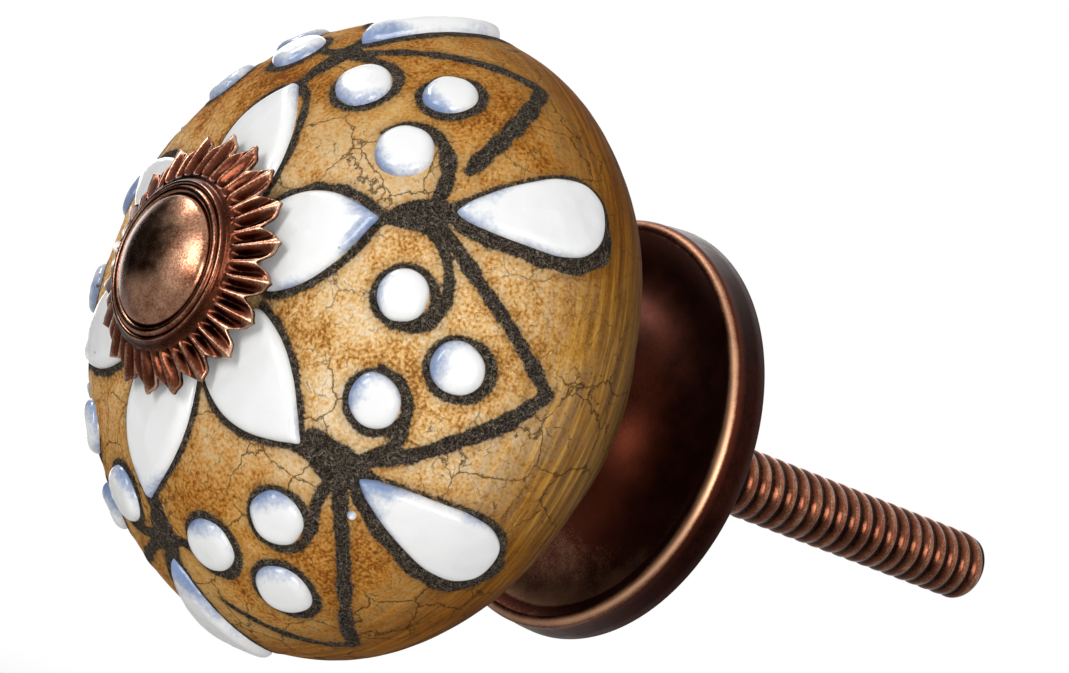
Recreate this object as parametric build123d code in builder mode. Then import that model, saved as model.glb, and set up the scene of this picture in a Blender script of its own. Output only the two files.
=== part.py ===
import os
from math import cos, pi, radians, sin

from build123d import *

os.makedirs("parts", exist_ok=True)

# Cabinet knob: a painted ceramic ball clamped on one copper bolt, with a sunflower rosette in front and a
# dished plate behind. The bolt's axis is Y. The head faces -Y, and Y = 0 is the face that meets the drawer.
# Heights below are measured from that face towards the head.
front = Plane((0, 0, 0), x_dir=(1, 0, 0), z_dir=(0, -1, 0))  # seen from the head, for patterns about the bolt
half = Plane((0, 0, 0), x_dir=(1, 0, 0), z_dir=(0, 0, -1))  # half sections: radius, height

# Bolt
stud_d = 5.0  # over the thread
stud_reach = 37.0  # stud behind the drawer face
stud_chamfer = 0.9
shank_d = 4.4  # plain shank inside the knob
stud_clearance = 0.4  # all round, in the holes that the stud passes through
head_d = 8.8
head_edge = 0.5  # straight edge under the crown
head_crown = 1.4  # rise of the crown
head_round = 0.25

# Back plate, pressed from sheet: a dish with a rolled rim, and a flared neck that carries the ball
plate_d = 29.6  # at the drawer face
plate_lip_d = 29.2  # over the rolled rim
plate_sheet = 0.7
plate_rim = 2.7  # height of the rolled rim
plate_roll = 0.65  # rounding of the rim
dish_d = 22.8  # where the dish is deepest
dish_h = 2.0
neck_d = 12.6
neck_h = 10.1  # from the drawer face to the ball
neck_round = 0.5

# Ceramic ball, with heights above its own back
ball_d = 43.0
belly_at = 13.4  # where the ball is widest
ball_length = 26.7  # back to front seat
seat_d = 11.0  # flat seat in front
shoulder_in = 4.6  # how far the shoulder lies inside the widest radius
shoulder_at = 22.2
flank_in = 2.1
flank_at = 6.4
heel_in = 7.0
heel_at = 2.1
foot_d = 14.0  # flat back

# Raised white glaze, with places measured along the ball's surface from the middle of the front
sectors = 6
glaze_rise = 0.75
glaze_round = 0.5
petal_from = 6.2
petal_to = 15.0
petal_base = 5.4  # width where it goes under the rosette
petal_w = 6.8
drop_from = 19.4
drop_to = 29.9
drop_w = 5.8
dot_d = 3.6
inner_dot_at = 17.0
inner_dot_turn = 13.2  # degrees either side of the middle of a sector
outer_dot_at = 21.4

# Rosette, pressed from sheet
petals = 20
rosette_d = 17.8
rosette_sheet = 0.6
rosette_fall = 1.5  # from the collar down to the tips
collar_d = 12.0
collar_rise = 0.3  # from the collar up to the bolt head's seat
head_clearance = 0.15
bead_w = 0.5  # half-round bead round the bolt head
notch_d = 15.5  # over the bottoms of the notches between the petals
tip_w = 0.3
flute_r = 0.62  # at the collar
flute_flare = 0.2  # growth of that radius on the way to the tip
flute_depth = 0.24

# What follows from the sizes above
hole_r = stud_d / 2 + stud_clearance
foot_y = neck_h
seat_y = foot_y + ball_length
rosette_y = seat_y + glaze_rise
collar_y = rosette_y + rosette_sheet + rosette_fall
head_y = collar_y + collar_rise


def ball_side(lift):
    # the ball's outline from the front seat to the back, moved outwards by lift
    slant = cos(pi / 4) * lift
    return Spline(
        (seat_d / 2, seat_y + lift),
        (ball_d / 2 - shoulder_in + slant, foot_y + shoulder_at + slant),
        (ball_d / 2 + lift, foot_y + belly_at),
        (ball_d / 2 - flank_in + slant, foot_y + flank_at - slant),
        (ball_d / 2 - heel_in + slant, foot_y + heel_at - slant),
        (foot_d / 2, foot_y - lift),
        tangents=[(1, 0), (-1, 0)],
    )


def surface_plane(distance, turn=0.0):
    # a plane on the ball's skin: x runs away from the rosette, z outwards, turned round the bolt from straight up
    side = half.from_local_coords(ball_side(0))
    along = distance - seat_d / 2
    point = side.position_at(along, PositionMode.LENGTH)
    run = side.tangent_at(along, PositionMode.LENGTH)
    spot = Plane(point, x_dir=run, z_dir=(run.Y, -run.X, 0))
    return Plane(Rotation(0, turn - 90, 0) * spot.location)


def crown_edges(piece, spot):
    # the rim of the face that lies furthest out from the ball
    return piece.faces().sort_by(Axis(spot.origin, spot.z_dir))[-1].edges()


sector = 360 / sectors
copies = [Rotation(0, sector * k, 0) for k in range(1, sectors)]
petal_spot = surface_plane((petal_from + petal_to) / 2)
drop_spot = surface_plane((drop_from + drop_to) / 2)
dot_spots = [
    surface_plane(inner_dot_at, sector / 2 - inner_dot_turn),
    surface_plane(inner_dot_at, sector / 2 + inner_dot_turn),
    surface_plane(outer_dot_at, sector / 2),
]


with BuildPart() as back_plate:
    rim_r = plate_d / 2
    lip_r = plate_lip_d / 2
    flare_r = (dish_d - neck_d) / 2
    draft = (rim_r - lip_r) / plate_rim
    with BuildSketch(half) as plate_section:
        with BuildLine():
            flare = CenterArc((dish_d / 2, dish_h + flare_r), flare_r, start_angle=180, arc_size=90)
            dish = TangentArc(flare @ 1, (lip_r - plate_roll, plate_rim), tangent=(1, 0))
            Polyline(
                dish @ 1,
                (lip_r, plate_rim),
                (rim_r + draft * plate_sheet, -plate_sheet),
                (hole_r - plate_sheet, -plate_sheet),
                (hole_r - plate_sheet, neck_h),
                (neck_d / 2, neck_h),
                flare @ 0,
            )
        make_face()
        level = plate_section.vertices().filter_by_position(Axis.Y, plate_rim - 0.01, plate_rim + 0.01)
        fillet(level.sort_by(Axis.X)[-1], plate_roll - 0.05)
        fillet(plate_section.vertices().group_by(Axis.Y)[-1].sort_by(Axis.X)[-1], neck_round)
        # one sheet thick, open towards the drawer and round the bolt
        offset(amount=-plate_sheet, mode=Mode.SUBTRACT)
        with Locations((hole_r, 0)):
            Rectangle(plate_d, 2 * neck_h, align=(Align.MIN, Align.MIN), mode=Mode.INTERSECT)
    revolve(axis=Axis.Y)
back_plate.part.label = "back_plate"
export_step(back_plate.part, "parts/back_plate.step")


with BuildPart() as ceramic_knob:
    with BuildSketch(half):
        with BuildLine():
            ball_side(0)
            Polyline(
                (foot_d / 2, foot_y),
                (hole_r, foot_y),
                (hole_r, seat_y),
                (seat_d / 2, seat_y),
            )
        make_face()
    revolve(axis=Axis.Y)
ceramic_knob.part.label = "ceramic_knob"
export_step(ceramic_knob.part, "parts/ceramic_knob.step")


with BuildPart() as glaze_skin:  # not a piece: the height that the raised glaze comes up to
    with BuildSketch(half):
        with BuildLine():
            skin = ball_side(glaze_rise)
            Polyline(skin @ 1, (hole_r, (skin @ 1).Y), (hole_r, seat_y + glaze_rise), skin @ 0)
        make_face()
    revolve(axis=Axis.Y)


with BuildPart() as glaze_petals:
    reach = (petal_to - petal_from) / 2
    with BuildSketch(petal_spot):
        with BuildLine():
            Bezier((-reach, petal_base / 2), (-reach / 3, petal_w * 0.62), (reach / 3, petal_w / 2), (reach, 0))
            Bezier((-reach, -petal_base / 2), (-reach / 3, -petal_w * 0.62), (reach / 3, -petal_w / 2), (reach, 0))
            Line((-reach, petal_base / 2), (-reach, -petal_base / 2))
        make_face()
    extrude(amount=reach, both=True)
    add(glaze_skin.part, mode=Mode.INTERSECT)
    add(ceramic_knob.part, mode=Mode.SUBTRACT)
    fillet(crown_edges(glaze_petals, petal_spot), glaze_round)
    one = glaze_petals.part
    with Locations(*copies):
        add(one)
glaze_petals.part.label = "glaze_petals"
export_step(glaze_petals.part, "parts/glaze_petals.step")


with BuildPart() as glaze_drops:
    reach = (drop_to - drop_from) / 2
    with BuildSketch(drop_spot):
        with BuildLine():
            side = Spline(
                (-reach, 0),
                (reach / 6, drop_w * 0.38),
                (reach * 0.55, drop_w / 2),
                (reach, 0),
                tangents=[(1, 0.6), (0, -1)],
            )
            mirror(side, about=Plane.XZ)
        make_face()
    extrude(amount=reach, both=True)
    add(glaze_skin.part, mode=Mode.INTERSECT)
    add(ceramic_knob.part, mode=Mode.SUBTRACT)
    fillet(crown_edges(glaze_drops, drop_spot), glaze_round)
    one = glaze_drops.part
    with Locations(*copies):
        add(one)
glaze_drops.part.label = "glaze_drops"
export_step(glaze_drops.part, "parts/glaze_drops.step")


with BuildPart() as glaze_dots:
    with BuildSketch(*dot_spots):
        Circle(dot_d / 2)
    extrude(amount=dot_d / 2, both=True)
    add(glaze_skin.part, mode=Mode.INTERSECT)
    add(ceramic_knob.part, mode=Mode.SUBTRACT)
    for spot in dot_spots:
        dot = min(glaze_dots.solids(), key=lambda piece: (piece.center() - spot.origin).length)
        fillet(crown_edges(dot, spot), glaze_round)
    one = glaze_dots.part
    with Locations(*copies):
        add(one)
glaze_dots.part.label = "glaze_dots"
export_step(glaze_dots.part, "parts/glaze_dots.step")


with BuildPart(front) as rosette:
    head_r = head_d / 2 + head_clearance
    tip = Vector(rosette_d / 2, rosette_y + rosette_sheet)
    collar = Vector(collar_d / 2, collar_y)
    with BuildSketch(half):
        with BuildLine():
            Polyline(
                (hole_r, head_y - rosette_sheet),
                (hole_r, head_y),
                (head_r, head_y),
            )
            ThreePointArc(
                (head_r, head_y), (head_r + bead_w / 2, head_y + bead_w / 2), (head_r + bead_w, head_y)
            )
            Polyline(
                (head_r + bead_w, head_y),
                (collar_d / 2, collar_y),
                (rosette_d / 2, rosette_y + rosette_sheet),
                (rosette_d / 2, rosette_y),
                (collar_d / 2, collar_y - rosette_sheet),
                (head_r + bead_w, head_y - rosette_sheet),
                (hole_r, head_y - rosette_sheet),
            )
        make_face()
    revolve(axis=Axis.Y)
    pitch = 360 / petals
    # notches between the pointed petals, right through the sheet
    across = rosette_d / 2 * sin(radians(pitch / 2)) - tip_w / 2
    along = rosette_d / 2 * cos(radians(pitch / 2)) - notch_d / 2
    with BuildSketch(front) as notches:
        with PolarLocations(0, petals, start_angle=90 + pitch / 2):
            with Locations((notch_d / 2, 0)):
                Polygon((0, 0), (2 * along, -2 * across), (2 * along, 2 * across), align=None)
    extrude(amount=head_y, mode=Mode.SUBTRACT)
    # two hollow flutes to each petal, with a ridge at its tip and one at each notch
    fall = (tip - collar).normalized()
    up = Vector(-fall.Y, fall.X)
    begin = collar + fall * flute_r * 0.6 + up * (flute_r - flute_depth)
    finish = tip + fall * flute_r + up * (flute_r + flute_flare - flute_depth)
    run = finish - begin
    with PolarLocations(0, 2 * petals, start_angle=90 + pitch / 4):
        with Locations(Plane((begin.X, 0, begin.Y), x_dir=(0, 1, 0), z_dir=(run.X, 0, run.Y))):
            Sphere(flute_r, mode=Mode.SUBTRACT)
            Cone(
                flute_r,
                flute_r + flute_flare,
                run.length,
                align=(Align.CENTER, Align.CENTER, Align.MIN),
                mode=Mode.SUBTRACT,
            )
rosette.part.label = "rosette"
export_step(rosette.part, "parts/rosette.step")


with BuildPart() as dome_bolt:
    with BuildSketch(half) as bolt_section:
        with BuildLine():
            top_y = head_y + head_edge + head_crown
            TangentArc((0, top_y), (head_d / 2, head_y + head_edge), tangent=(1, 0))
            Polyline(
                (head_d / 2, head_y + head_edge),
                (head_d / 2, head_y),
                (shank_d / 2, head_y),
                (shank_d / 2, 0),
                (stud_d / 2, 0),
                (stud_d / 2, stud_chamfer - stud_reach),
                (stud_d / 2 - stud_chamfer, -stud_reach),
                (0, -stud_reach),
                (0, top_y),
            )
        make_face()
        fillet(bolt_section.vertices().group_by(Axis.X)[-1].sort_by(Axis.Y)[-1], head_round)
    revolve(axis=Axis.Y)
dome_bolt.part.label = "dome_bolt"
export_step(dome_bolt.part, "parts/dome_bolt.step")

for node in (back_plate, ceramic_knob, glaze_petals, glaze_drops, glaze_dots, rosette, dome_bolt):
    print(node.part.label, len(node.part.solids()), "solids", round(node.part.volume, 1), "mm3", node.part.is_valid)
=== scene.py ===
import math

import bmesh
import bpy
import numpy as np
from mathutils import Matrix, Vector, kdtree, noise


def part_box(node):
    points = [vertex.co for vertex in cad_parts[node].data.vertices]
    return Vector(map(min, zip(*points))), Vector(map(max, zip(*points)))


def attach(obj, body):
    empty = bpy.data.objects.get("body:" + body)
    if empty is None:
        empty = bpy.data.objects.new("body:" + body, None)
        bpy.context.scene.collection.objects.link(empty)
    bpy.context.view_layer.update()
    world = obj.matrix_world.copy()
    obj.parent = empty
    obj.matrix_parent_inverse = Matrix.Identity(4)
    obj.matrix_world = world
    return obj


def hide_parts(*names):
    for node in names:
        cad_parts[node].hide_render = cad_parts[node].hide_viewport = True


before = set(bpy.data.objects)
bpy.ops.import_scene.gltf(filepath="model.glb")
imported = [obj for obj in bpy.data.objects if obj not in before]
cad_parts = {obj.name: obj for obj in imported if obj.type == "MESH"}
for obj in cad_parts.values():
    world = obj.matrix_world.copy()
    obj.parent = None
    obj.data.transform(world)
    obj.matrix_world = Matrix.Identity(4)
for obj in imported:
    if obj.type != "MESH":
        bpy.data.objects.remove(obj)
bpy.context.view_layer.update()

scene = bpy.context.scene
scene.view_settings.view_transform = "Standard"
mm = 0.001
print("frame loaded:", sorted(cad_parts))


# sRGB hex to the linear colour that sockets take
def hexColor(code):
    parts = [int(code[i:i + 2], 16) / 255 for i in (1, 3, 5)]
    return [c / 12.92 if c <= 0.04045 else ((c + 0.055) / 1.055) ** 2.4 for c in parts] + [1.0]


# a pattern's scale from its real size in millimetres
def scaleFor(size):
    return 1 / (size * mm)


# the four sockets of a range, which are filled together: where it starts and ends, and what it gives there
span = ("From Min", "From Max", "To Min", "To Max")


# adds a node, sets its properties and ramp stops, and fills or links its inputs; a hex code becomes a colour,
# and a node stands for its first output in use
def addNode(tree, kind, inputs=None, stops=(), **settings):
    node = tree.nodes.new("ShaderNode" + kind)
    for name, value in settings.items():
        setattr(node, name, value)
    for i, (place, color) in enumerate(stops):
        while len(node.color_ramp.elements) <= i:
            node.color_ramp.elements.new(1.0)
        node.color_ramp.elements[i].position = place
        node.color_ramp.elements[i].color = hexColor(color)
    for sockets, values in (inputs or {}).items():
        if sockets != span:
            sockets, values = [sockets], [values]
        for socket, value in zip(sockets, values):
            if isinstance(value, bpy.types.Node):
                value = next(port for port in value.outputs if port.enabled)
            if isinstance(value, bpy.types.NodeSocket):
                tree.links.new(value, node.inputs[socket])
            else:
                node.inputs[socket].default_value = hexColor(value) if isinstance(value, str) else value
    return node


# an empty node tree under a new material's name
def startMaterial(name):
    material = bpy.data.materials.new(name)
    material.use_nodes = True
    material.node_tree.nodes.clear()
    return material, material.node_tree


# angles once round, in radians
def fullTurn(count):
    return np.linspace(0, 2 * math.pi, count, endpoint=False)


# a smooth line through a few given points, with evenly spaced samples
def smoothLine(points, spacing, closed=False):
    points = np.asarray(points, float)
    if closed:
        points = np.vstack([points[-2:], points, points[:3]])
    step = np.linalg.norm(np.diff(points[:, :2], axis=0), axis=1)
    at = np.concatenate([[0], np.cumsum(step)])
    slope = np.gradient(points, at, axis=0)
    first, last = (at[2], at[-3]) if closed else (at[0], at[-1])
    count = max(2, int(round((last - first) / spacing)))
    where = np.linspace(first, last, count + 1)
    if closed:
        where = where[:-1]
    i = np.clip(np.searchsorted(at, where, side="right") - 1, 0, len(at) - 2)
    width = (at[i + 1] - at[i])[:, None]
    s = ((where - at[i])[:, None]) / width
    return (
        (2 * s ** 3 - 3 * s ** 2 + 1) * points[i] + (s ** 3 - 2 * s ** 2 + s) * width * slope[i]
        + (3 * s ** 2 - 2 * s ** 3) * points[i + 1] + (s ** 3 - s ** 2) * width * slope[i + 1]
    )


# one object from stacks of closed rings in millimetres; points that fall together become one
def ringObject(name, stacks, material, node, loop=False, crease=60, weld=0.0005):
    places, faces, marks = [], [], {}
    start = 0
    for rings, values in stacks:
        count, around = rings.shape[:2]
        index = np.arange(count * around).reshape(count, around) + start
        ahead = np.roll(index, -1, axis=1)
        faces.append(np.stack([index[:-1], ahead[:-1], ahead[1:], index[1:]], -1).reshape(-1, 4))
        if loop:
            faces.append(np.stack([index[-1], ahead[-1], ahead[0], index[0]], -1))
        places.append(rings.reshape(-1, 3) * mm)
        for mark, numbers in values.items():
            marks.setdefault(mark, []).append(np.broadcast_to(numbers, (count, around)).ravel())
        start += count * around
    mesh = bpy.data.meshes.new(name)
    mesh.from_pydata(np.vstack(places).tolist(), [], np.vstack(faces).tolist())
    for mark, numbers in marks.items():
        layer = mesh.attributes.new(mark, "FLOAT", "POINT")
        layer.data.foreach_set("value", np.concatenate(numbers).astype(np.float32))
    work = bmesh.new()
    work.from_mesh(mesh)
    bmesh.ops.remove_doubles(work, verts=work.verts, dist=weld * mm)
    bmesh.ops.dissolve_degenerate(work, edges=work.edges, dist=weld * mm)
    bmesh.ops.recalc_face_normals(work, faces=work.faces)
    work.to_mesh(mesh)
    work.free()
    mesh.polygons.foreach_set("use_smooth", [True] * len(mesh.polygons))
    mesh.set_sharp_from_angle(angle=math.radians(crease))
    mesh.materials.append(material)
    piece = bpy.data.objects.new(name, mesh)
    scene.collection.objects.link(piece)
    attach(piece, "root")
    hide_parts(node)
    print(name, len(mesh.polygons), "faces")


# rings about the bolt from rows of radius and height, where height runs from the drawer face to the head
def turned(radius, height, segments):
    turn = fullTurn(segments)
    count = len(height)
    radius = np.broadcast_to(np.asarray(radius, float).reshape(count, -1), (count, segments))
    height = np.broadcast_to(np.asarray(height, float).reshape(count, -1), (count, segments))
    return np.stack([radius * np.sin(turn), -height, radius * np.cos(turn)], -1)


# a rounded corner as points of a half section
def cornerArc(center, radius, start, end, count):
    angle = np.radians(np.linspace(start, end, count))
    return np.stack([center[0] + radius * np.cos(angle), center[1] + radius * np.sin(angle)], -1)


# Fired earthenware, tumbled and washed with ochre: matt, mottled tan with dark hairline crazing, brown turning
# streaks at the back that also carry painted shade, painted shade above, below and towards the back plate, and
# a brushed black slip whose edges are feathery and whose face is rough.
clay = {
    "body": [(0.40, "#96602A"), (0.455, "#D59E57"), (0.50, "#EBBF80"), (0.55, "#F3D5A6"), (0.62, "#F8E8CD")],
    "mottleSize": 6.0,  # mm, like all the sizes here
    "patchSize": 0.9,
    "speckSize": 0.22,  # grit of the body, drawn a little coarse so that it shows
    "mottleShare": 0.40,
    "patchShare": 0.27,
    "speckShare": 0.33,
    # the streak colours are dark partly to paint the shade on the back flank, which turns away from the light
    "streakAndShade": [(0.34, "#5E380F"), (0.5, "#95631E"), (0.66, "#C9953A")],
    "streakSize": 1.4,
    "streakStretch": (0.22, 2.6, 0.22),  # long round the bolt, narrow along it
    "streakSpan": (-30 * mm, -20.5 * mm, 0.03, 0.92),  # along the bolt, like the next two
    "frontTint": "#DCC9A6",  # the clay is a little darker round the rosette
    "frontSpan": (-32.5 * mm, -36.5 * mm, 0.0, 0.2),
    "backShade": "#432A0E",  # painted shade towards the back plate, where the ball turns away from the light and meets the plate
    "backSpan": (-22.5 * mm, -14.5 * mm, 0.0, 0.88),
    "aboveBelowShade": "#DAC08F",  # painted shade: the clay is darkened above and below, where the ball turns away from the front light
    "sideSpan": (3 * mm, 15 * mm, 0.0, 1.0),
    "crackColor": "#3A2310",
    "crackSize": 3.8,
    "crackLine": (0.003, 0.018, 1.0, 0.0),
    "crackWhere": (0.46, 0.6, 0.0, 0.8),
    "crackLow": (4 * mm, -9 * mm, 0.0, 0.07),  # more of it low on the ball
    "fineSize": 1.7,
    "fineLine": (0.004, 0.024, 1.0, 0.0),
    "fineWhere": (0.49, 0.62, 0.0, 0.7),
    "bendSize": 1.6,  # how the cracks wind
    "bendBy": 1.7,
    "slip": [(0.36, "#15120F"), (0.52, "#352E27"), (0.68, "#62574A")],
    "slipGrit": 0.16,
    "slipEdge": (0.09, -0.09, 0.0, 1.0),  # mm from the brush stroke
    "brushSize": 0.22,
    "brushWander": (0.25, 0.75, -0.1, 0.1),  # mm that the brush edge wanders
    "soot": "#6B4A22",  # the slip stains the clay beside it
    "sootSpan": (0.7, 0.0, 0.0, 0.4),
    "hair": "#A09280",  # loose bristle marks in the slip
    "hairSize": 0.5,
    "hairLine": (0.003, 0.018, 0.6, 0.0),
    "rough": (0.0, 1.0, 0.66, 0.85),  # from bare clay to slip
    "roughPatch": 0.16,
    "bumpDepth": 0.12,
}
clayMaterial, tree = startMaterial("washedEarthenware")
coords = addNode(tree, "TexCoord").outputs["Object"]
mottle = addNode(tree, "TexNoise", {
    "Vector": coords, "Scale": scaleFor(clay["mottleSize"]), "Detail": 5.0, "Distortion": 0.6})
patch = addNode(tree, "TexNoise", {
    "Vector": coords, "Scale": scaleFor(clay["patchSize"]), "Detail": 6.0, "Roughness": 0.7})
speck = addNode(tree, "TexNoise", {"Vector": coords, "Scale": scaleFor(clay["speckSize"])})
blendA = addNode(tree, "Math", {0: mottle, 1: clay["mottleShare"]}, operation="MULTIPLY")
blendB = addNode(tree, "Math", {0: patch, 1: clay["patchShare"], 2: blendA}, operation="MULTIPLY_ADD")
blendC = addNode(tree, "Math", {0: speck, 1: clay["speckShare"], 2: blendB}, operation="MULTIPLY_ADD")
body = addNode(tree, "ValToRGB", {"Fac": blendC}, clay["body"])
# turning streaks run round the bolt and show behind the belly; their dark colours there are partly painted
# shade
stretch = addNode(tree, "Mapping", {"Vector": coords, "Scale": clay["streakStretch"]})
streakNoise = addNode(tree, "TexNoise", {
    "Vector": stretch, "Scale": scaleFor(clay["streakSize"]), "Detail": 6.0, "Roughness": 0.65})
streakAndShade = addNode(tree, "ValToRGB", {"Fac": streakNoise}, clay["streakAndShade"])
apart = addNode(tree, "SeparateXYZ", {"Vector": coords})
along, height = apart.outputs["Y"], apart.outputs["Z"]
aside = addNode(tree, "Math", {0: height}, operation="ABSOLUTE")
tintedAndShaded = body
# over the body: a little darker round the rosette, turning streaks that carry painted shade, painted shade
# towards the back plate, and painted shade above and below
for place, part, color, blend in (
    (along, "frontSpan", clay["frontTint"], "MULTIPLY"), (along, "streakSpan", streakAndShade, "MIX"),
    (along, "backSpan", clay["backShade"], "MIX"), (aside, "sideSpan", clay["aboveBelowShade"], "MULTIPLY"),
):
    share = addNode(tree, "MapRange", {"Value": place, span: clay[part]}, interpolation_type="SMOOTHSTEP")
    tintedAndShaded = addNode(tree, "Mix", {0: share, 6: tintedAndShaded, 7: color}, data_type="RGBA", blend_type=blend)
# crazing: thin broken lines between bent cells
bend = addNode(tree, "TexNoise", {
    "Vector": coords, "Scale": scaleFor(clay["bendSize"]), "Detail": 6.0, "Roughness": 0.65})
bentA = addNode(tree, "VectorMath", {
    0: bend.outputs["Color"], "Scale": clay["bendBy"] * mm}, operation="SCALE")
bentB = addNode(tree, "VectorMath", {0: coords, 1: bentA}, operation="ADD")
crackLow = addNode(tree, "MapRange", {"Value": height, span: clay["crackLow"]})
crackShare = addNode(tree, "Math", {0: mottle, 1: crackLow}, operation="ADD")
cracks = []
for kind, source in (("crack", crackShare), ("fine", patch)):
    cells = addNode(tree, "TexVoronoi", {
        "Vector": bentB, "Scale": scaleFor(clay[kind + "Size"])}, feature="DISTANCE_TO_EDGE")
    line = addNode(tree, "MapRange", {"Value": cells, span: clay[kind + "Line"]})
    where = addNode(tree, "MapRange", {"Value": source, span: clay[kind + "Where"]})
    cracks.append(addNode(tree, "Math", {0: line, 1: where}, operation="MULTIPLY"))
crack = addNode(tree, "Math", {0: cracks[0], 1: cracks[1]}, operation="MAXIMUM")
crackedColor = addNode(tree, "Mix", {0: crack, 6: tintedAndShaded, 7: clay["crackColor"]}, data_type="RGBA")
# black slip: the mesh carries the distance to the nearest brush stroke in millimetres
slipAt = addNode(tree, "Attribute", attribute_name="slipEdge").outputs["Fac"]
brush = addNode(tree, "TexNoise", {
    "Vector": coords, "Scale": scaleFor(clay["brushSize"]), "Detail": 4.0, "Roughness": 0.65})
wander = addNode(tree, "MapRange", {"Value": brush, span: clay["brushWander"]})
edge = addNode(tree, "Math", {0: slipAt, 1: wander}, operation="ADD")
slip = addNode(tree, "MapRange", {"Value": edge, span: clay["slipEdge"]}, interpolation_type="SMOOTHSTEP")
soot = addNode(tree, "MapRange", {"Value": edge, span: clay["sootSpan"]})
sootyColor = addNode(tree, "Mix", {0: soot, 6: crackedColor, 7: clay["soot"]}, data_type="RGBA")
slipNoise = addNode(tree, "TexNoise", {
    "Vector": coords, "Scale": scaleFor(clay["slipGrit"]), "Detail": 3.0, "Distortion": 1.5})
slipFace = addNode(tree, "ValToRGB", {"Fac": slipNoise}, clay["slip"])
bristle = addNode(tree, "TexNoise", {
    "Vector": coords, "Scale": scaleFor(clay["hairSize"]), "Detail": 3.0, "Distortion": 1.0})
bristleMid = addNode(tree, "Math", {0: bristle, 1: 0.5}, operation="SUBTRACT")
bristleOff = addNode(tree, "Math", {0: bristleMid}, operation="ABSOLUTE")
bristleLine = addNode(tree, "MapRange", {"Value": bristleOff, span: clay["hairLine"]})
slipColor = addNode(tree, "Mix", {0: bristleLine, 6: slipFace, 7: clay["hair"]}, data_type="RGBA")
ballColor = addNode(tree, "Mix", {0: slip, 6: sootyColor, 7: slipColor}, data_type="RGBA")
ballRough = addNode(tree, "MapRange", {"Value": slip, span: clay["rough"]})
roughMore = addNode(tree, "Math", {0: patch, 1: clay["roughPatch"], 2: ballRough}, operation="MULTIPLY_ADD")
grit = addNode(tree, "Math", {0: slipNoise, 1: slip}, operation="MULTIPLY")
skin = addNode(tree, "Math", {0: blendC, 1: grit}, operation="ADD")
skinCracked = addNode(tree, "Math", {0: skin, 1: crack}, operation="SUBTRACT")
bump = addNode(tree, "Bump", {"Height": skinCracked, "Strength": 0.7, "Distance": clay["bumpDepth"] * mm})
shader = addNode(tree, "BsdfPrincipled", {
    "Base Color": ballColor, "Roughness": roughMore, "Normal": bump, "IOR": 1.5, "Specular IOR Level": 0.06})
addNode(tree, "OutputMaterial", {"Surface": shader})
print("earthenware ready")


# White tin glaze, dropped on thick and fired: very glossy, blue-grey where it runs thin at the rim, with a few
# dark pinholes and brown chips at the edge.
glaze = {
    "white": "#FAFBFA",
    "thin": "#8499C0",
    "thinSpan": (1.3, 0.0, 0.0, 1.0),  # mm from the rim
    "patchSize": 3.4,  # mm, like all the sizes here
    "patchShift": (0.4, 0.7, 0.3, -0.4),  # mm that the thin part comes and goes
    "crawlSize": 0.3,  # speckle where the glaze is thin
    "crawlShift": (0.35, 0.65, -0.14, 0.14),
    "pinhole": "#2E2C36",
    "pinholeCell": 1.7,
    "pinholeDot": (0.06, 0.03, 0.0, 1.0),
    "pinholeFrom": 0.55,  # cells that draw less than this have none
    "chip": "#6F4E2A",
    "chipSize": 0.7,
    "chipWidth": (0.66, 0.82, 0.0, 0.45),
    "rough": (0.3, 0.7, 0.08, 0.2),
    "swellSize": 1.1,
    "swellDepth": 0.15,
}
glazeMaterial, tree = startMaterial("whiteTinGlaze")
coords = addNode(tree, "TexCoord").outputs["Object"]
rimAt = addNode(tree, "Attribute", attribute_name="rimDistance").outputs["Fac"]
thinNoise = addNode(tree, "TexNoise", {"Vector": coords, "Scale": scaleFor(glaze["patchSize"]), "Detail": 2.5})
thinShift = addNode(tree, "MapRange", {"Value": thinNoise, span: glaze["patchShift"]})
crawl = addNode(tree, "TexNoise", {
    "Vector": coords, "Scale": scaleFor(glaze["crawlSize"]), "Detail": 3.0, "Roughness": 0.6})
crawlShift = addNode(tree, "MapRange", {"Value": crawl, span: glaze["crawlShift"]})
thinSum = addNode(tree, "Math", {0: thinShift, 1: crawlShift}, operation="ADD")
thinEdge = addNode(tree, "Math", {0: rimAt, 1: thinSum}, operation="ADD")
thin = addNode(tree, "MapRange", {"Value": thinEdge, span: glaze["thinSpan"]}, interpolation_type="SMOOTHSTEP")
thinColor = addNode(tree, "Mix", {0: thin, 6: glaze["white"], 7: glaze["thin"]}, data_type="RGBA")
holes = addNode(tree, "TexVoronoi", {"Vector": coords, "Scale": scaleFor(glaze["pinholeCell"])}, feature="F1")
holeDot = addNode(tree, "MapRange", {"Value": holes, span: glaze["pinholeDot"]})
holePick = addNode(tree, "SeparateXYZ", {"Vector": holes.outputs["Color"]})
holeSome = addNode(tree, "Math", {0: holePick, 1: glaze["pinholeFrom"]}, operation="GREATER_THAN")
hole = addNode(tree, "Math", {0: holeDot, 1: holeSome}, operation="MULTIPLY")
holedColor = addNode(tree, "Mix", {0: hole, 6: thinColor, 7: glaze["pinhole"]}, data_type="RGBA")
chipNoise = addNode(tree, "TexNoise", {"Vector": coords, "Scale": scaleFor(glaze["chipSize"]), "Detail": 4.0})
chipWidth = addNode(tree, "MapRange", {"Value": chipNoise, span: glaze["chipWidth"]})
chipEdge = addNode(tree, "Math", {0: rimAt, 1: chipWidth}, operation="LESS_THAN")
chipColor = addNode(tree, "Mix", {0: chipEdge, 6: holedColor, 7: glaze["chip"]}, data_type="RGBA")
glazeRough = addNode(tree, "MapRange", {"Value": thinNoise, span: glaze["rough"]})
swell = addNode(tree, "TexNoise", {"Vector": coords, "Scale": scaleFor(glaze["swellSize"])})
bump = addNode(tree, "Bump", {"Height": swell, "Strength": 0.35, "Distance": glaze["swellDepth"] * mm})
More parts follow.
